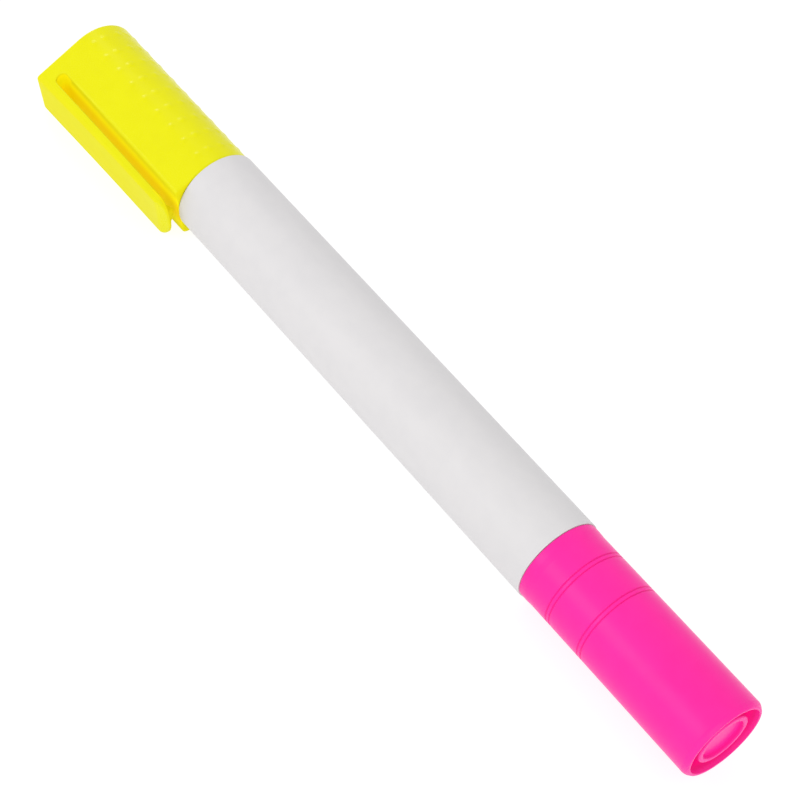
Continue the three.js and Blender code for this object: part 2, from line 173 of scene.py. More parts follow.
def turned(outline: Outline, facets: int, painted_shade_at: Callable[[Array], Array]) -> Form:
    """Turns an outline of (x, radius) points about the x axis.

    Args:
        outline: Closed outline that stays clear of the axis.
        facets: Number of steps round the axis.
        painted_shade_at: Gives the depth of points, which sets their painted shade and glow.

    Returns:
        The form, with a ring of points for each point of the rounded outline.
    """
    loop, outward = outline.smooth_loop()
    angles = np.linspace(0, 2 * math.pi, facets, endpoint=False)
    cos, sin = np.cos(angles)[:, None], np.sin(angles)[:, None]

    def rings(values: Array) -> Array:
        """Turns rows of (along, out) round the axis."""
        along = np.broadcast_to(values[:, 0], (facets, len(values)))
        return np.stack([along, cos * values[:, 1], sin * values[:, 1]], axis=-1).reshape(-1, 3)

    count = len(loop)
    ring, place = np.meshgrid(np.arange(facets), np.arange(count), indexing="ij")
    next_ring, next_place = (ring + 1) % facets, (place + 1) % count
    faces = np.stack(
        [
            ring * count + place,
            ring * count + next_place,
            next_ring * count + next_place,
            next_ring * count + place,
        ],
        axis=-1,
    ).reshape(-1, 4)
    points = rings(loop)
    return Form(points, faces, rings(outward), painted_shade_at(points))


class Carving(ABC):
    """A moulding given by its signed distance, meshed on a grid and settled on its surface."""

    grid_step: float

    @abstractmethod
    def extent(self) -> tuple[Array, Array]:
        """Returns the lowest and highest corner of the space that holds the moulding."""

    @abstractmethod
    def distance(self, x: Array, y: Array, z: Array) -> Array:
        """Returns the signed distance of points from the surface, below zero inside."""

    def painted_shade_at(self, points: Array) -> Array:
        """Returns how deep points lie in a slot or trough, from 0 to 1, which sets their painted
        shade and glow.
        """
        return np.zeros(len(points))

    def slope(self, points: Array, reach: float = 0.02) -> Array:
        """Gradient of the distance.

        Args:
            points: Points, one in each row.
            reach: Half the span over which it is measured.

        Returns:
            One vector in each row.
        """
        columns = []
        for axis in range(3):
            shift = np.zeros(3)
            shift[axis] = reach
            ahead, behind = (points + shift).T, (points - shift).T
            columns.append((self.distance(*ahead) - self.distance(*behind)) / (2 * reach))
        return np.stack(columns, axis=-1)

    def form(self) -> Form:
        """Meshes the moulding.

        Returns:
            The form, its points moved onto the surface.
        """
        step = self.grid_step * 1
        low, high = self.extent()
        axes = [np.arange(a - 1.5 * step, b + 2.5 * step, step) for a, b in zip(low, high)]
        x, y, z = axes[0][:, None, None], axes[1][None, :, None], axes[2][None, None, :]
        shape = tuple(len(axis) for axis in axes)
        values = np.broadcast_to(self.distance(x, y, z), shape)
        points, number = self._cell_points(values, axes, step)
        faces = self._faces(values < 0, number)
        for _ in range(3):
            slope = self.slope(points)
            steep = np.maximum((slope**2).sum(axis=1), 0.3)
            move = slope * (self.distance(*points.T) / steep)[:, None]
            length = np.linalg.norm(move, axis=1, keepdims=True)
            points -= move * np.minimum(1, 0.4 * step / np.maximum(length, 1e-9))
        slope = self.slope(points, 0.04)
        normals = slope / np.linalg.norm(slope, axis=1, keepdims=True)
        return Form(points, faces, normals, self.painted_shade_at(points))

    @staticmethod
    def _cell_points(values: Array, axes: list[Array], step: float) -> tuple[Array, Array]:
        """Puts a point in each cell of the grid that the surface crosses.

        Args:
            values: Distances at the grid's points.
            axes: Coordinates of the grid along each axis.
            step: Size of a cell.

        Returns:
            The points, and the number of each cell's point, or -1.
        """
        inside = values < 0
        corners = [(i, j, k) for i in (0, 1) for j in (0, 1) for k in (0, 1)]
        size = tuple(n - 1 for n in values.shape)
        filled = np.zeros(size, int)
        for corner in corners:
            filled += inside[tuple(slice(c, c + n) for c, n in zip(corner, size))]
        cells = np.argwhere((filled > 0) & (filled < 8))
        number = np.full(size, -1)
        number[tuple(cells.T)] = np.arange(len(cells))
        total, count = np.zeros((len(cells), 3)), np.zeros(len(cells))
        for start in corners:
            for axis in range(3):
                if start[axis]:
                    continue
                end = tuple(1 if n == axis else c for n, c in enumerate(start))
                at_start = values[tuple((cells + start).T)]
                at_end = values[tuple((cells + end).T)]
                crossed = (at_start < 0) != (at_end < 0)
                share = np.where(crossed, at_start / np.where(crossed, at_start - at_end, 1), 0)
                place = np.array(start) + share[:, None] * (np.array(end) - start)
                total[crossed] += place[crossed]
                count += crossed
        lowest = np.array([axis[0] for axis in axes])
        return lowest + (cells + total / count[:, None]) * step, number

    @staticmethod
    def _faces(inside: Array, number: Array) -> Array:
        """Joins the points of the four cells round each edge of the grid that the surface crosses.

        Args:
            inside: Which points of the grid lie inside.
            number: Number of each cell's point.

        Returns:
            Faces, run so that they face outward.
        """
        faces = []
        for axis in range(3):
            second, third = (axis + 1) % 3, (axis + 2) % 3
            low, high = np.moveaxis(inside, axis, 0)[:-1], np.moveaxis(inside, axis, 0)[1:]
            edges = np.argwhere(np.moveaxis(low != high, 0, axis))
            edges = edges[(edges[:, second] > 0) & (edges[:, third] > 0)]
            around = []
            for back in ((1, 1), (0, 1), (0, 0), (1, 0)):
                cell = edges.copy()
                cell[:, second] -= back[0]
                cell[:, third] -= back[1]
                around.append(number[tuple(cell.T)])
            face = np.stack(around, axis=-1)
            outward = inside[tuple(edges.T)]
            faces.append(np.where(outward[:, None], face, face[:, ::-1]))
        return np.concatenate(faces)


class Wire:
    """A number in a shader, taken from a socket, that takes part in arithmetic."""

    def __init__(self, shader: "Shader", socket: bpy.types.NodeSocket) -> None:
        """Holds a socket of a shader."""
        self.shader = shader
        self.socket = socket

    def __add__(self, other: "Wire | float") -> "Wire":
        """Adds a number."""
        return self.shader.maths("ADD", self, other)

    __radd__ = __add__

    def __sub__(self, other: "Wire | float") -> "Wire":
        """Takes a number away."""
        return self.shader.maths("SUBTRACT", self, other)

    def __rsub__(self, other: "Wire | float") -> "Wire":
        """Takes this away from a number."""
        return self.shader.maths("SUBTRACT", other, self)

    def __mul__(self, other: "Wire | float") -> "Wire":
        """Multiplies by a number."""
        return self.shader.maths("MULTIPLY", self, other)

    __rmul__ = __mul__

    def ramp(self, low: float, high: float) -> "Wire":
        """Runs smoothly from 0 at a low value to 1 at a high one."""
        node = self.shader.node(
            "ShaderNodeMapRange",
            {"interpolation_type": "SMOOTHSTEP"},
            {"Value": self, "From Min": low, "From Max": high},
        )
        return Wire(self.shader, node.outputs["Result"])


class Shader:
    """A material under construction, with one method that makes its nodes."""

    def __init__(self, name: str) -> None:
        """Starts a material of a name with its surface shader and the piece's own coordinates."""
        self.material = bpy.data.materials.new(name)
        self.material.use_nodes = True
        self.tree = self.material.node_tree
        self.surface = self.tree.nodes["Principled BSDF"]
        self.place = self.node("ShaderNodeTexCoord").outputs["Object"]

    def put(self, socket: bpy.types.NodeSocket, value: object) -> None:
        """Links a wire or socket to a socket, or sets the socket's value."""
        if isinstance(value, Wire):
            value = value.socket
        if isinstance(value, bpy.types.NodeSocket):
            self.tree.links.new(value, socket)
        else:
            socket.default_value = value

    def node(
        self,
        kind: str,
        settings: dict[str, object] | None = None,
        sockets: dict[str | int, object] | None = None,
    ) -> bpy.types.Node:
        """Makes a node.

        Args:
            kind: The node's type.
            settings: Properties of the node, set first.
            sockets: Values or links of its inputs, by name or place.

        Returns:
            The node.
        """
        made = self.tree.nodes.new(kind)
        for name, value in (settings or {}).items():
            setattr(made, name, value)
        for name, value in (sockets or {}).items():
            self.put(made.inputs[name], value)
        return made

    def maths(self, operation: str, one: "Wire | float", other: "Wire | float") -> Wire:
        """Works out an operation on two numbers."""
        made = self.node("ShaderNodeMath", {"operation": operation}, {0: one, 1: other})
        return Wire(self, made.outputs[0])

    def stretched(self, stretch: Sequence[float]) -> bpy.types.NodeSocket:
        """Returns the piece's coordinates in millimetres, divided by a stretch along each axis."""
        scale = tuple(1 / (MM * s) for s in stretch)
        made = self.node(
            "ShaderNodeVectorMath", {"operation": "MULTIPLY"}, {0: self.place, 1: scale}
        )
        return made.outputs[0]

    def noise(
        self, size: float, detail: float = 2.0, stretch: Sequence[float] = (1.0, 1.0, 1.0)
    ) -> Wire:
        """Makes noise.

        Args:
            size: Size of its largest features, in millimetres.
            detail: Number of finer layers.
            stretch: How many times longer the features are along each axis.

        Returns:
            A value from 0 to 1 about a middle of 0.5.
        """
        made = self.node(
            "ShaderNodeTexNoise",
            {"noise_dimensions": "3D"},
            {"Vector": self.stretched(stretch), "Scale": 1 / size, "Detail": detail},
        )
        return Wire(self, made.outputs["Fac"])

    def cells(self, size: float) -> Wire:
        """Makes cells of a size in millimetres, as the distance from the nearest middle."""
        made = self.node(
            "ShaderNodeTexVoronoi",
            {"feature": "F1"},
            {"Vector": self.stretched((1.0, 1.0, 1.0)), "Scale": 1 / size},
        )
        return Wire(self, made.outputs["Distance"])

    def tint(self, share: Wire, one: Tint, other: Tint) -> bpy.types.NodeSocket:
        """Mixes two colours or colour sockets by a share of the second."""
        one, other = [(*t, 1.0) if isinstance(t, tuple) else t for t in (one, other)]
        made = self.node("ShaderNodeMix", {"data_type": "RGBA"}, {0: share, 6: one, 7: other})
        return made.outputs[2]

    def depth(self) -> Wire:
        """Reads how deep the surface lies in a slot or trough, from 0 to 1, the amount of painted
        shade and painted glow.
        """
        made = self.node("ShaderNodeAttribute", {"attribute_name": PAINTED_SHADE_LAYER})
        return Wire(self, made.outputs["Fac"])

    def relief(self, height: Wire, depth: float) -> bpy.types.NodeSocket:
        """Raises the surface by a height of 0 to 1, times a depth in millimetres."""
        made = self.node(
            "ShaderNodeBump", None, {"Strength": 1.0, "Distance": depth * MM, "Height": height}
        )
        return made.outputs["Normal"]

    def finish(self, **sockets: object) -> bpy.types.Material:
        """Sets sockets of the surface shader, with _ for a space, and returns the material."""
        for name, value in sockets.items():
            self.put(self.surface.inputs[name.replace("_", " ")], value)
        return self.material


@dataclass(frozen=True)
class MouldedPlastic:
    """Satin moulded plastic: a fine spark-eroded grain, slow colour drift and a faint waviness.

    Bright plastic can take painted shade far down in a slot or trough, a deeper colour mixed in by
    the depth layer, and a painted glow there, an emission that stands in for light coming through
    the plastic.
    """

    name: str
    colour: Colour
    drift: Colour
    roughness: float
    grain: float = 0.14
    grain_depth: float = 0.0012
    wave_depth: float = 0.006
    specular: float = 0.3
    # deep is the colour of the painted shade in slots and troughs; painted_glow is the emission
    # painted there
    deep: Colour | None = None
    painted_glow: Colour = (0.0, 0.0, 0.0)

    def dress(self) -> bpy.types.Material:
        """Makes the material.

        Returns:
            A material whose colour, roughness and relief vary over the moulding.
        """
        shader = Shader(self.name)
        flow = shader.noise(7.0, 3.0, (3.0, 1.0, 1.0))
        cloud = shader.noise(2.2, 2.0)
        grain = shader.noise(self.grain, 3.0)
        pits = shader.cells(self.grain * 1.6)
        patches = flow.ramp(0.35, 0.7) * 0.6 + cloud.ramp(0.35, 0.7) * 0.4
        relief = flow * (self.wave_depth / self.grain_depth) + grain + pits * 0.5
        colour = shader.tint(patches, self.colour, self.drift)
        roughness = self.roughness + (grain - 0.5) * 0.08 + (flow - 0.5) * 0.06
        # Painted shade and painted glow: the depth layer mixes in the deep colour and an emission,
        # standing in for shade and for light coming through the plastic in the hollows; it also
        # roughens the surface
        if self.deep is not None:
            depth = shader.depth()
            colour = shader.tint(depth, colour, self.deep)
            light = shader.tint(depth.ramp(0.03, 0.6), (0.0, 0.0, 0.0), self.painted_glow)
            roughness = roughness + depth.ramp(0.0, 0.12) * 0.6
            shader.finish(Emission_Color=light, Emission_Strength=1.0)
        return shader.finish(
            Base_Color=colour,
            Roughness=roughness,
            Normal=shader.relief(relief, self.grain_depth),
            Specular_IOR_Level=self.specular,
        )


@dataclass(frozen=True)
class InkedFelt:
    """Firm felt soaked with ink: fibres along the pen, darker where the ink gathers."""

    name: str
    colour: Colour
    pooled: Colour
    fibre: float = 0.09
    relief: float = 0.02

    def dress(self) -> bpy.types.Material:
        """Makes the material.

        Returns:
            A fibrous material, streaked along the pen.
        """
        shader = Shader(self.name)
        strands = shader.noise(self.fibre, 4.0, (9.0, 1.0, 1.0))
        pools = shader.noise(0.9, 3.0)
        fluff = shader.noise(self.fibre * 0.6, 2.0)
        share = strands.ramp(0.35, 0.7) * 0.5 + pools.ramp(0.4, 0.65) * 0.5
        return shader.finish(
            Base_Color=shader.tint(share, self.colour, self.pooled),
            Roughness=0.85 + (strands - 0.5) * 0.2,
            Normal=shader.relief(strands + fluff * 0.5, self.relief),
            Specular_IOR_Level=0.2,
        )


@dataclass(frozen=True)
class ClearFilm:
    """Thin film sleeve, with long wrinkles along the pen."""

    name: str
    colour: Colour
    hazed: Colour

    def dress(self) -> bpy.types.Material:
        """Makes the material.

        Returns:
            A glossy, slightly wrinkled material.
        """
        shader = Shader(self.name)
        wrinkles = shader.noise(0.8, 2.0, (8.0, 1.0, 1.0))
        haze = shader.noise(3.0, 2.0)
        return shader.finish(
            Base_Color=shader.tint(haze.ramp(0.3, 0.7), self.colour, self.hazed),
            Roughness=0.22 + (haze - 0.5) * 0.15,
            Normal=shader.relief(wrinkles, 0.05),
            Specular_IOR_Level=0.5,
        )


@dataclass(frozen=True)
class MatPaper:
    """Pale paper of the floor."""

    name: str
    colour: Colour
    shade: Colour
    lift: float

    def dress(self) -> bpy.types.Material:
        """Makes the material.

        Returns:
            A matt, nearly even material.
        """
        shader = Shader(self.name)
        tooth = shader.noise(1.5, 3.0)
        return shader.finish(
            Base_Color=shader.tint(tooth.ramp(0.3, 0.7), self.colour, self.shade),
            Roughness=0.95 + (tooth - 0.5) * 0.05,
            Specular_IOR_Level=0.0,
            Emission_Color=(1.0, 1.0, 1.0, 1.0),
            Emission_Strength=self.lift,
        )


WHITE_PLASTIC = MouldedPlastic(
    "white_satin_plastic", (0.64, 0.625, 0.63), (0.615, 0.602, 0.61), 0.5, grain_depth=0.002
)
NATURAL_PLASTIC = MouldedPlastic(
    "natural_plastic", (0.68, 0.68, 0.66), (0.63, 0.63, 0.61), 0.45
)
YELLOW_PLASTIC = MouldedPlastic(
    "yellow_satin_plastic",
    (0.735, 0.715, 0.003),
    (0.71, 0.685, 0.002),
    0.27,
    specular=0.12,
    # Painted shade (orange) and painted glow for the inside of the clip's slot and the cap's far
    # end
    deep=(0.8, 0.45, 0.001),
    painted_glow=(0.21, 0.29, 0.0),
)
PINK_PLASTIC = MouldedPlastic(
    "pink_satin_plastic",
    (0.92, 0.02, 0.33),
    (0.89, 0.016, 0.31),
    0.34,
    specular=0.18,
    # Painted shade and painted glow for the pink cap's trough and the sides of its button
    deep=(0.8, 0.0, 0.26),
    painted_glow=(0.2, 0.0, 0.07),
)
YELLOW_FELT = InkedFelt("yellow_inked_felt", (0.72, 0.70, 0.03), (0.60, 0.54, 0.01))
PINK_FELT = InkedFelt("pink_inked_felt", (0.85, 0.04, 0.31), (0.62, 0.015, 0.2))
YELLOW_FIBRE = InkedFelt("yellow_ink_fibre", (0.74, 0.72, 0.1), (0.63, 0.58, 0.03), 0.05)
PINK_FIBRE = InkedFelt("pink_ink_fibre", (0.8, 0.1, 0.36), (0.67, 0.04, 0.24), 0.05)
FILM = ClearFilm("clear_film", (0.68, 0.7, 0.72), (0.6, 0.62, 0.65))
PAPER = MatPaper("studio_paper", (0.2, 0.2, 0.2), (0.195, 0.195, 0.195), 0.86)


class PenEnd(Enum):
    """The two ends of the pen, by the colour of their ink."""

    YELLOW = "yellow"
    PINK = "pink"

    def node(self, part: str) -> str:
        """Returns the name of the CAD node of a part at this end."""
        return f"{self.value}_{part}"

    def piece(self, name: str, part: str, slot: str, body: str = "pen_body") -> "Piece":
        """Returns a piece at this end that takes the place of a part's CAD node."""
        return Piece(self.node(name), self.node(part), body, slot)


@dataclass(frozen=True)
class PenPlace:
    """How the pen lies: rolled about its axis until the clip's lower corner meets the floor."""

    roll: float = 19.21988
    barrel_half: float = 38.1

    def barrel(self) -> Matrix:
        """Returns the way from the barrel's frame to the row frame."""
        low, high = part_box("barrel")
        lying = Matrix.Rotation(math.radians(self.roll), 4, "X")
        return Matrix.Translation((low + high) / 2) @ lying @ Matrix.Scale(MM, 4)

    def end(self, end: PenEnd, outward: float = 0.0) -> Matrix:
        """Returns the way from an end's frame to the row frame, moved outward by a distance."""
        turn = Matrix.Rotation(math.pi if end is PenEnd.YELLOW else 0.0, 4, "Z")
        return self.barrel() @ turn @ Matrix.Translation((self.barrel_half + outward, 0, 0))


@dataclass(frozen=True)
class Piece:
    """A piece of the pen before it is built."""

    name: str
    node: str
    body: str
    slot: str

    def build(self, form: Form, place: Matrix, finish: MouldedPlastic | InkedFelt) -> None:
        """Builds the piece in place of its CAD node.

        Args:
            form: Its mesh.
            place: The way from the form's frame to the row frame.
            finish: What it is made of.
        """
        matrix = np.array(place)
        points = form.points @ matrix[:3, :3].T + matrix[:3, 3]
        normals = form.normals @ (matrix[:3, :3] / np.linalg.norm(matrix[:3, 0])).T
        mesh = bpy.data.meshes.new(self.name)
        mesh.from_pydata(points.tolist(), [], form.faces.tolist())
        mesh.shade_smooth()
        mesh.normals_split_custom_set_from_vertices(normals.tolist())
        # Depth layer: how much painted shade and painted glow the material lays on each point
        layer = mesh.attributes.new(PAINTED_SHADE_LAYER, "FLOAT", "POINT")
        layer.data.foreach_set("value", form.depth)
        mesh.materials.append(material_of(finish))
        made = bpy.data.objects.new(self.name, mesh)
        bpy.context.scene.collection.objects.link(made)
        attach(made, self.body)
        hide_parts(self.node)
        LOG.info("%s: %d faces, rides on %s", self.name, len(form.faces), self.body)


_MADE: dict[str, bpy.types.Material] = {}


def material_of(finish: MouldedPlastic | InkedFelt | ClearFilm | MatPaper) -> bpy.types.Material:
    """Returns the material of a finish, made once."""
    if finish.name not in _MADE:
        _MADE[finish.name] = finish.dress()
    return _MADE[finish.name]


@dataclass
class Barrel:
    """White tube with rounded ends, counterbored for the collars of the front sections."""

    half: float = 38.16
    radius: float = 6.55
    bore: float = 5.55
    edge: float = 0.08
    counterbore: float = 5.9
    collar_depth: float = 1.2
    facets: int = 224

    def outline(self) -> Outline:
        """Returns the wall in (x, radius)."""
        return Outline.of(
            (self.half, self.radius, self.edge),
            (-self.half, self.radius, self.edge),
            (-self.half, self.counterbore, 0.08),
            (self.collar_depth - self.half, self.counterbore),
            (self.collar_depth - self.half, self.bore),
            (self.half - self.collar_depth, self.bore),
            (self.half - self.collar_depth, self.counterbore),
            (self.half, self.counterbore, 0.08),
        )

    def build(self, place: PenPlace) -> None:
        """Builds the tube and dresses it."""
        piece = Piece("barrel_tube", "barrel", "pen_body", "white_plastic")
        form = turned(self.outline(), self.facets, lambda points: np.zeros(len(points)))
        piece.build(form, place.barrel(), WHITE_PLASTIC)


@dataclass
class FrontSection(Carving):
    """Barbed plug, collar, cap seat with its snap bead, and a vented snout that grips the tip."""

    end: PenEnd
    plug_depth: float = 9.5
    plug_radius: float = 5.25
    plug_wall: float = 1.0
    barb_height: float = 0.15
    barb_pitch: float = 2.2
    web: float = 2.2
    collar_depth: float = 0.9
    collar_radius: float = 5.8
    seat_length: float = 10.6
    seat_radius: float = 5.0
    shoulder: float = 0.8
    bead_place: float = 6.5
    bead_half: float = 0.55
    bead_height: float = 0.15
    snout_length: float = 9.0
    snout_radius: float = 3.35
    bore: float = 2.7
    vent_width: float = 0.9
    vent_length: float = 5.0
    grid_step: float = 0.17

    def outline(self) -> Outline:
        """Returns the wall in (x, radius)."""
        body = self.plug_radius - self.barb_height
        snout_end = self.seat_length + self.snout_length
        barbs = []
        for i in range(3):
            start = -(1.5 + i) * self.barb_pitch
            barbs += [(start, body), (start, self.plug_radius), (start - self.barb_pitch / 2, body)]
        return Outline.of(
            (-self.web, self.bore),
            (snout_end, self.bore, 0.1),
            (snout_end, self.snout_radius, 0.3),
            (self.seat_length, self.snout_radius, 0.25),
            (self.seat_length, self.seat_radius - self.shoulder, 0.2),
            (self.seat_length - self.shoulder, self.seat_radius, 0.25),
            (self.bead_place + self.bead_half, self.seat_radius, 0.3),
            (self.bead_place, self.seat_radius + self.bead_height, 0.5),
            (self.bead_place - self.bead_half, self.seat_radius, 0.3),
            (0, self.seat_radius, 0.1),
            (0, self.collar_radius, 0.12),
            (-self.collar_depth, self.collar_radius),
            (-self.collar_depth, self.plug_radius),
            (-self.barb_pitch, self.plug_radius),
            (-self.barb_pitch, body),
            *barbs,
            (-self.plug_depth, body),
            (-self.plug_depth, body - self.plug_wall),
            (-self.web, body - self.plug_wall),
        )

    def extent(self) -> tuple[Array, Array]:
        """Returns the corners of the space that holds the section."""
        reach = self.collar_radius
        length = self.seat_length + self.snout_length
        return np.array([-self.plug_depth, -reach, -reach]), np.array([length, reach, reach])

    def distance(self, x: Array, y: Array, z: Array) -> Array:
        """Signed distance from the section, with its vents cut through the snout."""
        wall = self.outline().distance(x, np.hypot(y, z))
        start = self.seat_length + self.snout_length - self.vent_length
        vent = rounded_both(np.abs(y) - self.vent_width / 2, start - x, 0.2)
        return rounded_both(wall, -vent, 0.08)

    def build(self, place: PenPlace) -> None:
        """Builds the section and dresses it."""
        piece = self.end.piece("snout_section", "front_section", "white_plastic")
        piece.build(self.form(), place.end(self.end), WHITE_PLASTIC)


@dataclass
class ChiselTip(Carving):
    """Felt rod whose end is cut to a wedge and then slanted."""

    end: PenEnd
    radius: float = 2.4
    reach: float = 26.0
    tail: float = 15.5
    chisel_length: float = 5.0
    edge_width: float = 1.3
    slant: float = 38.0
    grid_step: float = 0.13

    def extent(self) -> tuple[Array, Array]:
        """Returns the corners of the space that holds the tip."""
        side = self.radius
        return np.array([-self.tail, -side, -side]), np.array([self.reach, side, side])

    def distance(self, x: Array, y: Array, z: Array) -> Array:
        """Signed distance from the tip."""
        side = self.radius
        middle, half = (self.reach - self.tail) / 2, (self.reach + self.tail) / 2
        rod = rounded_both(np.hypot(y, z) - side, np.abs(x - middle) - half, 0.3)
        wide, narrow = side, self.edge_width / 2
        fall = (wide - narrow) / (self.chisel_length + 1)
        lean = math.hypot(1, fall)
        wedge = (np.abs(y) - wide + fall * (x - self.reach + self.chisel_length)) / lean
        angle = math.radians(self.slant)
        cut = (x - self.reach) * math.cos(angle) - (z - side) * math.sin(angle)
        return rounded_both(rounded_both(rod, wedge, 0.15), cut, 0.18)

    def build(self, place: PenPlace) -> None:
        """Builds the tip and dresses it in felt of its ink."""
        felt = YELLOW_FELT if self.end is PenEnd.YELLOW else PINK_FELT
        piece = self.end.piece("felt_tip", "chisel_tip", self.end.node("felt"))
        piece.build(self.form(), place.end(self.end), felt)


@dataclass
class CapSpace:
    """Inside of a cap: a bore with a groove for the snap bead, a ledge, and a flared far end."""

    length: float
    bore: float = 5.3
    groove_place: float = 6.4
    groove_half: float = 0.8
    groove_depth: float = 0.15
    ledge_place: float = 24.4
    ledge_thickness: float = 1.0
    ledge_height: float = 0.65
    flare_depth: float = 2.2
    flare: float = 0.3
    # How the open far end takes painted shade and painted glow: none at the lip, full a little
    # further down
    lit_lip: float = 0.5
    dark_below: float = 2.4

    def painted_shade_at(self, points: Array) -> Array:
        """Returns how much painted shade and painted glow points of the cap's wall take in its open
        far end, from 0 to 1, more the deeper they lie.
        """
        inside = np.hypot(points[:, 1], points[:, 2]) < self.bore + self.flare
        beyond_ledge = points[:, 0] > self.ledge_place
        below_lip = self.length - self.lit_lip - points[:, 0]
        share = np.clip(below_lip / (self.dark_below - self.lit_lip), 0, 1)
        return inside * beyond_ledge * share

    def wall(self) -> list[tuple[float, ...]]:
        """Returns the corners of the inside wall, from the mouth to the far end."""
        wide = self.bore + self.groove_depth
        ledge_end = self.ledge_place + self.ledge_thickness
        return [
            (self.groove_place - self.groove_half, self.bore, 0.1),
            (self.groove_place - self.groove_half / 2, wide, 0.1),
            (self.groove_place + self.groove_half / 2, wide, 0.1),
            (self.groove_place + self.groove_half, self.bore, 0.1),
            (self.ledge_place, self.bore, 0.08),
            (self.ledge_place, self.bore - self.ledge_height, 0.15),
            (ledge_end, self.bore - self.ledge_height, 0.15),
            (ledge_end, self.bore, 0.2),
            (self.length - self.flare_depth, self.bore, 2.0),
            (self.length - self.lit_lip, self.bore + self.flare * 0.6, 2.0),
        ]


@dataclass
class InnerSeal(Carving):
    """Cup that closes over the snout, with ribs outside and a round, rimmed button for its end."""

    end: PenEnd
    cap_length: float
    mouth: float = 10.8
    bore: float = 3.75
    outer: float = 4.45
    wall: float = 0.7
    button_radius: float = 4.05
    button_depth: float = 6.0
    rim_width: float = 0.8
    rim_slope: float = 0.1
    recess: float = 0.6
    floor: float = 1.0
    setback: float = 0.3
    rib_start: float = 20.1
    rib_length: float = 4.0
    rib_width: float = 0.9
    rib_reach: float = 5.0
    ribs: int = 6
    # How the button's side and the ring by its recess wall take painted shade and painted glow
    lit_rim: float = 0.25
    dark_side: float = 2.2
    recess_shade: float = 0.3
    recess_band: float = 0.3
    grid_step: float = 0.16

    def outline(self) -> Outline:
        """Returns the cup's right half in (x, radius), run past the axis."""
        rim = self.cap_length - self.setback
        floor = rim - self.recess
        start = rim - self.button_depth
        cone = start - (self.outer - self.button_radius)
        inner = self.button_radius - self.rim_width
        return Outline.of(
            (floor, -2.0),
            (floor, inner - self.rim_slope, 0.12),
            (rim, inner + self.rim_slope / 2, 0.1),
            (rim, self.button_radius, 0.28),
            (start, self.button_radius, 0.3),
            (cone, self.outer, 0.3),
            (self.mouth, self.outer, 0.12),
            (self.mouth, self.bore, 0.12),
            (cone, self.bore, 0.3),
            (start, self.button_radius - self.wall, 0.3),
            (floor - self.floor, self.button_radius - self.wall, 0.3),
            (floor - self.floor, -2.0),
        )

    def extent(self) -> tuple[Array, Array]:
        """Returns the corners of the space that holds the seal."""
        reach = self.rib_reach
        end = self.cap_length - self.setback
        return np.array([self.mouth, -reach, -reach]), np.array([end, reach, reach])

    def distance(self, x: Array, y: Array, z: Array) -> Array:
        """Signed distance from the seal."""
        radius = np.hypot(y, z)
        cup = self.outline().distance(x, radius)
        sector = 2 * math.pi / self.ribs
        angle = np.arctan2(z, y)
        angle = angle - sector * np.round(angle / sector)
        out, side = radius * np.cos(angle), radius * np.sin(angle)
        middle = self.rib_start + self.rib_length / 2
        along = np.abs(x - middle) - self.rib_length / 2
        across = np.maximum(np.abs(side) - self.rib_width / 2, out - self.rib_reach)
        rib = rounded_both(along, np.maximum(across, self.bore + 0.2 - out), 0.12)
        return rounded_either(cup, rib, 0.15)

    def painted_shade_at(self, points: Array) -> Array:
        """Returns the painted shade and painted glow of the button's side and of the ring by its
        recess wall, from 0 to 1.
        """
        radius = np.hypot(points[:, 1], points[:, 2])
        beyond_ribs = points[:, 0] > self.rib_start + self.rib_length
        below_rim = self.cap_length - self.setback - self.lit_rim - points[:, 0]
        outside = radius > self.button_radius - 0.15
        side = outside * np.clip(below_rim / self.dark_side, 0, 1)
        from_wall = np.abs(radius - (self.button_radius - self.rim_width))
        near_wall = np.clip(1 - from_wall / self.recess_band, 0, 1)
        recess = (below_rim > 0) * near_wall * self.recess_shade
        return beyond_ribs * np.maximum(side, recess)

    def build(self, place: PenPlace, seam: float) -> None:
        """Builds the seal inside its cap.

        Args:
            place: How the pen lies.
            seam: Gap between the barrel and the cap.
        """
        plastic = YELLOW_PLASTIC if self.end is PenEnd.YELLOW else PINK_PLASTIC
        slot, body = self.end.node("plastic"), self.end.node("cap")
        piece = self.end.piece("end_button", "cap_inner_seal", slot, body)
        piece.build(self.form(), place.end(self.end, seam), plastic)


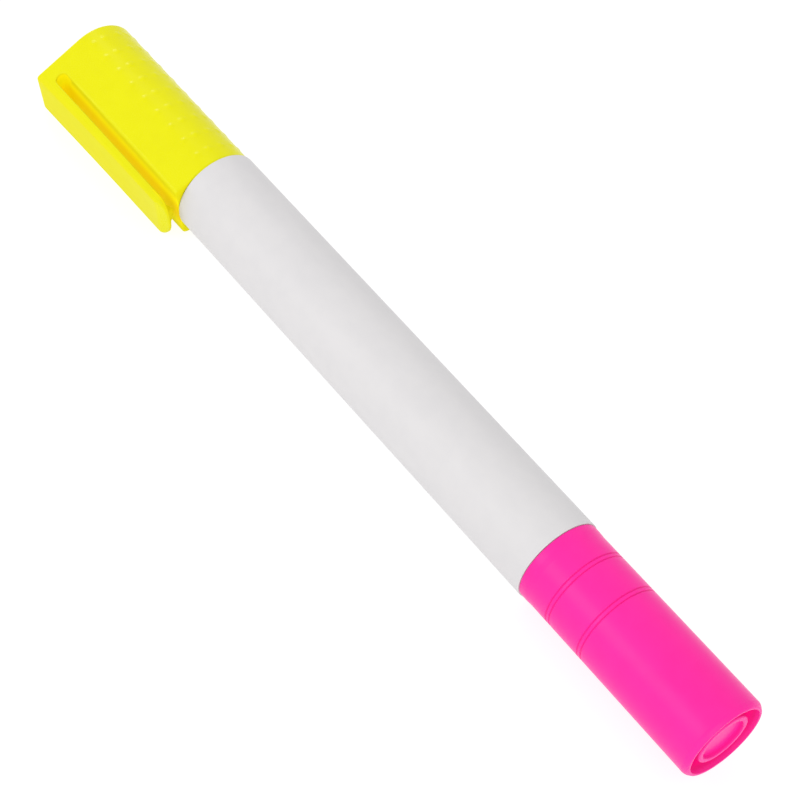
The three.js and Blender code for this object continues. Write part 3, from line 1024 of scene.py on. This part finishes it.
@dataclass
class PinkCap:
    """Plain cap with a band at its mouth, two pairs of fine rings and a rounded open end."""

    length: float = 32.2
    seam: float = 0.1
    mouth_radius: float = 6.33
    end_radius: float = 6.41
    band: float = 1.1
    band_step: float = 0.07
    band_fade: float = 0.9
    lip: float = 0.9
    ring_places: tuple[float, ...] = (5.2, 5.84, 11.4, 12.04)
    ring_width: float = 0.3
    ring_depth: float = 0.18
    facets: int = 256
    seal: InnerSeal = field(default_factory=lambda: InnerSeal(PenEnd.PINK, 32.2))

    def radius_at(self, x: float) -> float:
        """Returns the outer radius at a distance from the mouth."""
        return self.mouth_radius + (self.end_radius - self.mouth_radius) * x / self.length

    def outline(self) -> Outline:
        """Returns the wall in (x, radius)."""
        space = CapSpace(self.length)
        edge = self.band + self.band_fade
        outer = [
            (0.0, self.mouth_radius + self.band_step, 0.1),
            (self.band, self.mouth_radius + self.band_step, 0.4),
            (edge, self.radius_at(edge), 0.4),
        ]
        for middle in self.ring_places:
            radius = self.radius_at(middle)
            outer += [
                (middle - self.ring_width / 2, radius, 0.04),
                (middle, radius - self.ring_depth, 0.04),
                (middle + self.ring_width / 2, radius, 0.04),
            ]
        end = space.bore + space.flare
        loop = [
            (0.0, space.bore, 0.15),
            *space.wall(),
            (self.length, end, 0.1),
            (self.length, self.end_radius - self.lip * 0.5, self.lip * 0.4),
            (self.length - self.lip * 0.7, self.end_radius, self.lip),
            *reversed(outer),
        ]
        return Outline.of(*loop)

    def build(self, place: PenPlace) -> None:
        """Builds the cap and its seal."""
        piece = Piece("pink_cap_moulding", "pink_cap_shell", "pink_cap", "pink_plastic")
        form = turned(self.outline(), self.facets, CapSpace(self.length).painted_shade_at)
        piece.build(form, place.end(PenEnd.PINK, self.seam), PINK_PLASTIC)
        self.seal.build(place, self.seam)


@dataclass
class GripBumps:
    """Low domes in rows along the yellow cap, on the side away from the clip."""

    cap_radius: float
    cap_length: float
    stations: int = 9
    pitch: float = 3.3
    first: float = 2.3
    rows: int = 11
    row_angle: float = 19.5
    radius: float = 0.52
    height: float = 0.08

    def distance(self, x: Array, y: Array, z: Array) -> Array:
        """Signed distance from the nearest dome, each the top of a ball."""
        ball = (self.radius**2 + self.height**2) / (2 * self.height)
        centre = self.cap_radius + self.height - ball
        from_end = self.cap_length - self.first - x
        station = np.clip(np.round(from_end / self.pitch), 0, self.stations - 1)
        half = (self.rows - 1) // 2
        angle = np.degrees(np.arctan2(z, -y))
        row = np.clip(np.round(angle / self.row_angle), -half, half)
        turn = np.radians(angle - row * self.row_angle)
        radius = np.hypot(y, z)
        out, side = radius * np.cos(turn) - centre, radius * np.sin(turn)
        return np.sqrt((from_end - station * self.pitch) ** 2 + out**2 + side**2) - ball


@dataclass
class YellowCap(Carving):
    """Cap with a pocket clip moulded on a block that leaves the round body on two tangent flats."""

    length: float = 31.4
    seam: float = 0.1
    radius: float = 6.35
    end_edge: float = 0.25
    clip_reach: float = 9.6
    clip_waist: tuple[tuple[float, float], ...] = ((22.5, 9.5), (14.5, 9.33))
    clip_tip_reach: float = 9.2
    clip_swell: float = 0.2
    clip_half_width: float = 3.6
    clip_edge: float = 0.75
    clip_overhang: float = 0.16
    tip_half_width: float = 3.8
    tip_corner: float = 1.1
    tip_bow: float = 1.1
    tip_bevel: float = 1.85
    tip_drop: float = 1.05
    tip_edge: float = 0.9
    slot_floor: float = 6.4
    slot_root: float = 2.5
    slot_root_reach: float = 8.15
    slot_tip_reach: float = 7.9
    slot_edge: float = 0.18
    barb_length: float = 2.9
    barb_height: float = 1.2
    barb_width: float = 2.6
    barb_crest: float = 1.2
    barb_inset: float = 0.5
    # Amounts of painted shade and painted glow laid by the depth layer on the slot, barb, mouth
    # corner and clip face
    outer_edge: float = 8.9
    outer_shade: float = 0.065
    floor_soft: float = 0.6
    floor_crisp: float = 0.1
    soften_over: float = 10.0
    shade_reach: float = 3.6
    root_shade: float = 0.45
    root_shade_reach: float = 2.5
    barb_shade: float = 0.25
    mouth_shade: float = 0.22
    grid_step: float = 0.19
    bumps: GripBumps = field(default_factory=lambda: GripBumps(6.35, 31.4))
    seal: InnerSeal = field(default_factory=lambda: InnerSeal(PenEnd.YELLOW, 31.4))

    def flank_touch(self) -> tuple[float, float]:
        """Returns where a flank leaves the round body, in (y, z)."""
        angle = math.atan2(self.clip_half_width, self.clip_reach)
        angle += math.acos(self.radius / math.hypot(self.clip_reach, self.clip_half_width))
        return self.radius * math.cos(angle), self.radius * math.sin(angle)

    def flank_width(self, reach: float) -> float:
        """Returns half the block's width at a distance from the pen's axis."""
        touch = self.flank_touch()
        share = (reach - touch[0]) / (self.clip_reach - touch[0])
        return touch[1] + (self.clip_half_width - touch[1]) * share

    def block_section(self, reach: float, rounding: float) -> Outline:
        """Returns the block's cross-section in (y, z), from inside the round body to a reach."""
        touch, width = self.flank_touch(), self.flank_width(reach)
        return Outline.of(
            (touch[0], -touch[1]),
            (reach, -width, rounding),
            (reach, width, rounding),
            (touch[0], touch[1]),
            (0.0, touch[1] * 0.5),
            (0.0, -touch[1] * 0.5),
        )

    def clip_side(self) -> Outline:
        """Returns the clip's side view in (x, y), with the slot's round end."""
        tip, root = -self.clip_overhang, self.length - self.slot_root
        inside = self.slot_floor - 1.5
        slot_half = (self.slot_root_reach - self.slot_floor) / 2
        return Outline.of(
            (self.length + 1, inside),
            (self.length + 1, self.clip_reach + self.clip_swell),
            (self.length, self.clip_reach + self.clip_swell),
            *((x, reach, 60.0) for x, reach in self.clip_waist),
            (tip + self.tip_bevel, self.clip_tip_reach, self.tip_edge),
            (tip, self.clip_tip_reach - self.tip_drop, self.tip_edge / 2),
            (tip, self.slot_tip_reach, 0.15),
            (root, self.slot_root_reach, slot_half),
            (root, self.slot_floor, slot_half),
            (root - 2.1 * slot_half, self.slot_floor - 0.01, 0.02),
            (root - 2.1 * slot_half, inside),
        )

    def clip_plan(self) -> Outline:
        """Returns the clip's plan view in (x, z), with the tip's bowed edge and round corners."""
        tip, clear = -self.clip_overhang, self.flank_width(self.slot_floor) + 1
        root = self.length - self.slot_root - 1.1
        width = self.flank_width(self.slot_root_reach) + 0.3
        return Outline.of(
            (self.length + 1, -clear),
            (self.length + 1, clear),
            (root, clear, 0.3),
            (root, width, 0.3),
            (tip + self.tip_bow, self.tip_half_width, self.tip_corner),
            (tip + self.tip_bow * 0.2, self.tip_half_width * 0.45, 4.0),
            (tip + self.tip_bow * 0.2, -self.tip_half_width * 0.45, 4.0),
            (tip + self.tip_bow, -self.tip_half_width, self.tip_corner),
            (root, -width, 0.3),
            (root, -clear, 0.3),
        )

    def barb_side(self) -> Outline:
        """Returns the side view in (x, y) of the barb inside the clip's tip."""
        start, top = self.barb_inset - self.clip_overhang, self.slot_tip_reach
        return Outline.of(
            (start, top, 0.1),
            (start + self.barb_length * 0.28, top - self.barb_height, 0.25),
            (start + self.barb_length, top, 0.1),
            (start + self.barb_length, top + 0.4, 0.1),
            (start, top + 0.4, 0.1),
        )

    def space(self) -> Outline:
        """Returns the inside of the cap in (x, radius), run past the axis and both ends."""
        inside = CapSpace(self.length)
        end = inside.bore + inside.flare
        return Outline.of(
            (self.length + 1, -2.0),
            (self.length + 1, end, 0.02),
            (self.length, end, 0.02),
            *reversed(inside.wall()),
            (-1.0, inside.bore),
            (-1.0, -2.0),
        )

    def extent(self) -> tuple[Array, Array]:
        """Returns the corners of the space that holds the cap."""
        side = self.radius + self.bumps.height
        return (
            np.array([-self.clip_overhang, -side, -side]),
            np.array([self.length, self.clip_reach + self.clip_swell, side]),
        )

    def clip(self, x: Array, y: Array, z: Array, ends: Array) -> Array:
        """Signed distance from the clip, its root and its barb.

        Args:
            x: Places along the pen.
            y: Places toward the clip.
            z: Places across the clip.
            ends: Distance past the cap's closed end.

        Returns:
            Signed distance, below zero inside.
        """
        reach = self.clip_reach + self.clip_swell
        block = self.block_section(reach, self.clip_edge).distance(y, z)
        arm = rounded_both(block, self.clip_side().distance(x, y), self.slot_edge)
        arm = rounded_both(arm, self.clip_plan().distance(x, z), 0.25)
        taper = (self.barb_width - self.barb_crest) / 2 / self.barb_height
        half_width = self.barb_width / 2 + taper * (y - self.slot_tip_reach)
        barb = rounded_both(
            self.barb_side().distance(x, y),
            (np.abs(z) - half_width) / math.hypot(1, taper),
            0.25,
        )
        return rounded_both(rounded_either(arm, barb, 0.2), ends, self.end_edge)

    def distance(self, x: Array, y: Array, z: Array) -> Array:
        """Signed distance from the cap."""
        radius = np.hypot(y, z)
        closed_end, mouth = x - self.length, -x
        tube = rounded_either(radius - self.radius, self.bumps.distance(x, y, z), 0.06)
        near_root = (x - self.length + self.slot_root) / self.soften_over + 1.1
        near_root = np.clip(near_root, 0, 1)
        soft = self.block_section(self.slot_floor, self.floor_soft).distance(y, z)
        crisp = self.block_section(self.slot_floor, self.floor_crisp).distance(y, z)
        floor_block = rounded_both(soft + (crisp - soft) * near_root, mouth, 0.4)
        body = rounded_both(np.minimum(tube, floor_block), closed_end, self.end_edge)
        body = rounded_both(body, mouth, 0.12)
        solid = np.minimum(body, self.clip(x, y, z, closed_end))
        return rounded_both(solid, -self.space().distance(x, radius), 0.2)

    def painted_shade_at(self, points: Array) -> Array:
        """Painted shade and painted glow of the slot and of the open far end.

        Args:
            points: Points of the cap's surface, one in each row.

        Returns:
            How much painted shade and painted glow each point takes, from 0 to 1: most in the
            middle of the slot, less at its closed end, on the barb and on the proud corner of the
            mouth. The clip's outer face takes a little too, which makes it matt and gives it a
            faint painted tint.
        """
        x, y, z = points.T
        between = (y > self.slot_floor - 0.15) & (y < self.slot_root_reach + 0.1)
        inward = self.flank_width(y) - np.abs(z)
        middle = np.clip(inward / self.shade_reach, 0, 1)
        to_root = self.length - self.slot_root - x
        near_root = np.clip(self.root_shade_reach - to_root, 0, 1)
        closed = np.clip(inward / 0.4, 0, 1) * near_root * self.root_shade
        along = np.clip(x / 0.25, 0, 1) * (to_root > -0.2)
        on_barb = (y > self.slot_floor + 0.3) & (x < self.barb_length + self.barb_inset)
        slot = np.where(on_barb, self.barb_shade, np.maximum(middle, closed)) * between * along
        proud = (np.hypot(y, z) > self.radius + 0.15) & (y < self.slot_floor + 0.1)
        mouth = proud * np.clip(1 - x / 0.3, 0, 1) * self.mouth_shade
        outer = np.clip((y - self.outer_edge) / 0.4, 0, 1) * self.outer_shade
        far_end = CapSpace(self.length).painted_shade_at(points)
        return np.maximum.reduce([slot, mouth, outer, far_end])

    def build(self, place: PenPlace) -> None:
        """Builds the cap and its seal."""
        piece = Piece("yellow_cap_moulding", "yellow_cap_shell", "yellow_cap", "yellow_plastic")
        piece.build(self.form(), place.end(PenEnd.YELLOW, self.seam), YELLOW_PLASTIC)
        self.seal.build(place, self.seam)


@dataclass
class InkStore:
    """What the barrel holds at one end: a fibre rod in a film sleeve."""

    end: PenEnd

    def dress(self) -> None:
        """Dresses the rod and its sleeve."""
        fibre = YELLOW_FIBRE if self.end is PenEnd.YELLOW else PINK_FIBRE
        dress_node(self.end.node("reservoir_core"), fibre)
        dress_node(self.end.node("reservoir_film"), FILM)


def dress_node(name: str, finish: MouldedPlastic | InkedFelt | ClearFilm) -> None:
    """Gives a CAD node a finish."""
    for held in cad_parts[name].material_slots:
        held.material = material_of(finish)
    LOG.info("%s: dressed in %s", name, finish.name)


@dataclass(frozen=True)
class SoftBox:
    """A square soft light that faces the pen."""

    name: str
    position: tuple[float, float, float]
    size: float
    watts: float
    colour: Colour = (1.0, 1.0, 1.0)

    def build(self) -> None:
        """Hangs the light in metres and turns it to the pen."""
        light = bpy.data.lights.new(self.name, "AREA")
        light.shape, light.size, light.energy = "SQUARE", self.size, self.watts
        light.color = self.colour
        made = bpy.data.objects.new(self.name, light)
        made.location = self.position
        made.rotation_euler = (-Vector(self.position)).to_track_quat("-Z", "Y").to_euler()
        bpy.context.scene.collection.objects.link(made)


@dataclass
class Studio:
    """Pale floor, soft lights and the camera."""

    floor_size: float = 6.0
    sky: float = 0.88
    lens: float = 108.0
    camera_position: tuple[float, float, float] = (0.14866625, -0.17754488, 0.23276693)
    camera_right: tuple[float, float, float] = (0.60672057, 0.76418068, 0.21890186)
    camera_up: tuple[float, float, float] = (-0.65923062, 0.32982680, 0.67574349)
    lights: tuple[SoftBox, ...] = (
        SoftBox("key_light", (-0.44, -0.79, 0.43), 0.45, 2.0),
        SoftBox("fill_light", (0.5, -0.78, 0.38), 0.8, 0.8),
        SoftBox("end_light", (0.93, -0.25, 0.27), 0.6, 2.0),
        SoftBox("top_light", (-0.79, 0.1, 0.61), 0.22, 1.4),
    )

    def build_floor(self) -> None:
        """Lays the paper floor under the pen."""
        half = self.floor_size / 2
        mesh = bpy.data.meshes.new("studio_floor")
        corners = [(-half, -half, 0), (half, -half, 0), (half, half, 0), (-half, half, 0)]
        mesh.from_pydata(corners, [], [(0, 1, 2, 3)])
        mesh.materials.append(material_of(PAPER))
        floor = bpy.data.objects.new("studio_floor", mesh)
        bpy.context.scene.collection.objects.link(floor)

    def build_sky(self) -> None:
        """Surrounds the scene with an even white light."""
        world = bpy.data.worlds.new("studio_sky")
        world.use_nodes = True
        sky = world.node_tree.nodes["Background"]
        sky.inputs["Color"].default_value = (1.0, 1.0, 1.0, 1.0)
        sky.inputs["Strength"].default_value = self.sky
        bpy.context.scene.world = world

    def build_camera(self) -> None:
        """Puts the camera where the photograph was taken."""
        data = bpy.data.cameras.new("photo_camera")
        data.lens, data.sensor_width = self.lens, 36.0
        data.clip_start, data.clip_end = 0.01, 20.0
        right, up = Vector(self.camera_right), Vector(self.camera_up)
        turn = Matrix((right, up, right.cross(up))).transposed().to_4x4()
        camera = bpy.data.objects.new("photo_camera", data)
        camera.matrix_world = Matrix.Translation(self.camera_position) @ turn
        bpy.context.scene.collection.objects.link(camera)
        bpy.context.scene.camera = camera

    def build(self) -> None:
        """Builds the studio and sets how its light turns into colour."""
        self.build_floor()
        self.build_sky()
        self.build_camera()
        for light in self.lights:
            light.build()
        bpy.context.scene.view_settings.view_transform = "Standard"


def main() -> None:
    """Builds the pen and its studio."""
    logging.basicConfig(level=logging.INFO, format="%(message)s")
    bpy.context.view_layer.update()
    place = PenPlace()
    Barrel().build(place)
    dress_node("reservoir_divider", NATURAL_PLASTIC)
    for end in PenEnd:
        InkStore(end).dress()
        FrontSection(end).build(place)
        ChiselTip(end).build(place)
    YellowCap().build(place)
    PinkCap().build(place)
    Studio().build()


if __name__ == "__main__":
    main()
